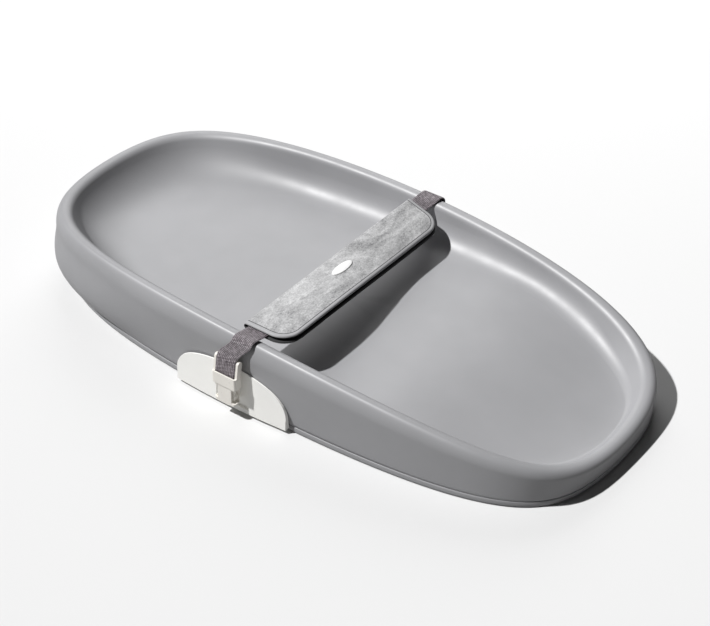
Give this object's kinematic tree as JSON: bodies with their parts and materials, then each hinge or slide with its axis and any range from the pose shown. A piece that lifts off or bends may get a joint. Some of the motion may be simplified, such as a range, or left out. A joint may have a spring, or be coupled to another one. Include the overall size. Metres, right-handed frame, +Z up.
{
  "type": "changing pad",
  "caption": "Contoured oval changing pad: a foam basin with a high head end and low foot end, and a buckled belt with a padded cover across the middle.",
  "frame": {"origin": "on the ground at the middle of the footprint, under the centre grip", "axes": "+X from the head end to the low foot end, +Y to the side with the belt's anchor, +Z up"},
  "size_m": [0.8179, 0.425, 0.1178],
  "materials": {
    "foam_skin": "satin integral skin",
    "tray_plastic": "fine matt",
    "grip_rubber": "matt",
    "white_plastic": "satin",
    "buckle_plastic": "soft gloss",
    "steel": "plated",
    "webbing": "close weave",
    "thread": "twisted thread",
    "cover_felt": "heathered felt",
    "cover_trim": "smooth bound edge",
    "cover_lining": "plain lining",
    "wadding": "soft foam sheet",
    "touch_tape": "napped tape",
    "badge": "smooth"
  },
  "bodies": {
    "pad": {"foam_body": "foam_skin", "base_tray": "tray_plastic", "grip_feet": "grip_rubber", "front_bracket": "white_plastic", "rear_bracket": "white_plastic", "rear_anchor_pin": "steel", "bracket_screws": "steel", "buckle_socket": "buckle_plastic", "socket_screws": "steel"},
    "belt": {"belt_webbing": "webbing", "belt_stitching": "thread", "buckle_insert": "buckle_plastic"},
    "latch_left": {"buckle_latch_left": "buckle_plastic"},
    "latch_right": {"buckle_latch_right": "buckle_plastic"},
    "cover": {"cover_lower_panel": "cover_lining", "cover_loop_strip": "touch_tape"},
    "cover_flap": {"cover_hook_strip": "touch_tape", "cover_lining": "cover_lining", "cover_padding": "wadding", "cover_top_fabric": "cover_felt", "cover_edge_binding": "cover_trim", "cover_stitching": "thread", "cover_label": "badge"}
  },
  "joints": [
    {"name": "belt_swing", "type": "hinge", "parent": "pad", "child": "belt", "pos_m": [0, 0.2045, 0.045], "axis": [-1, 0, 0], "range_deg": [0, 125]},
    {"name": "latch_left_press", "type": "hinge", "parent": "belt", "child": "latch_left", "pos_m": [-0.0255, -0.2085, 0.0445], "axis": [0, -1, 0], "range_deg": [0, 8], "stiffness_Nm_per_rad": 0.4},
    {"name": "latch_right_press", "type": "hinge", "parent": "belt", "child": "latch_right", "pos_m": [-0.0055, -0.2085, 0.0445], "axis": [0, 1, 0], "range_deg": [0, 8], "stiffness_Nm_per_rad": 0.4},
    {"name": "cover_slide", "type": "slide", "parent": "belt", "child": "cover", "axis": [0, 1, 0], "range_m": [-0.005, 0.012]},
    {"name": "cover_open", "type": "hinge", "parent": "cover", "child": "cover_flap", "pos_m": [-0.015, -0.007, 0.1113], "axis": [0, -1, 0], "range_deg": [0, 140]}
  ],
  "couplings": [
    {"joint": "latch_right_press", "follows": "latch_left_press", "ratio": 1}
  ]
}
